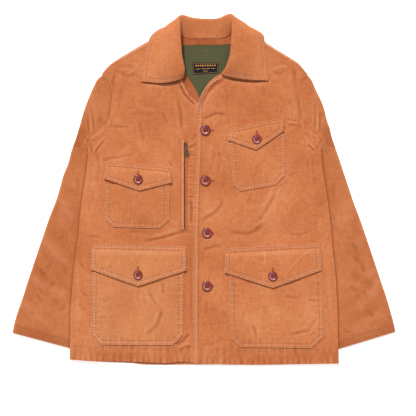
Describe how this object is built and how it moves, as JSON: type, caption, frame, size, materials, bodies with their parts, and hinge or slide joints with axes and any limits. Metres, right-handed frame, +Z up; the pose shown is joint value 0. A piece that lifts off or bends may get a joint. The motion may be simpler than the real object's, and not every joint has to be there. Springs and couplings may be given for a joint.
{
  "type": "military jacket",
  "caption": "Short canvas field jacket laid flat on its back, with a turned-down collar, buttoned placket, flapped patch pockets and a zipped chest pocket.",
  "frame": {"origin": "middle of the underside's bounding rectangle, on the surface that the jacket lies on", "axes": "+Z up from the surface, +Y from the hem to the collar, +X to the wearer's left side"},
  "size_m": [0.862, 0.789, 0.0308],
  "materials": {
    "canvas": "garment-dyed cotton canvas, matt, orange-brown",
    "tape": "zip tape in the canvas's colour",
    "lining": "plain olive lining",
    "label": "woven navy label",
    "button": "polished maroon resin",
    "bronze": "dark bronzed zinc"
  },
  "bodies": {
    "jacket": {"back_panel": "canvas", "button_chest_left": "button", "button_chest_right": "button", "button_lower_left": "button", "button_lower_right": "button", "button_placket_1": "button", "button_placket_2": "button", "button_placket_3": "button", "button_placket_4": "button", "collar": "canvas", "flap_chest_left": "canvas", "flap_chest_right": "canvas", "flap_lower_left": "canvas", "flap_lower_right": "canvas", "front_left": "canvas", "front_right": "canvas", "hanger_loop": "canvas", "lining": "lining", "neck_facing": "canvas", "neck_label": "label", "pocket_chest_left": "canvas", "pocket_chest_right": "canvas", "pocket_lower_left": "canvas", "pocket_lower_right": "canvas", "sleeve_left": "canvas", "sleeve_right": "canvas", "zip_slider": "bronze", "zip_tape": "tape", "zip_welt": "canvas"},
    "pull_tab": {"pull_tab": "bronze"}
  },
  "joints": [
    {"name": "pull_tab_hinge", "type": "hinge", "parent": "jacket", "child": "pull_tab", "pos_m": [-0.0425, 0.101, 0.00894], "axis": [-0.9816, -0.1908, 0], "range_deg": [0, 150]}
  ]
}
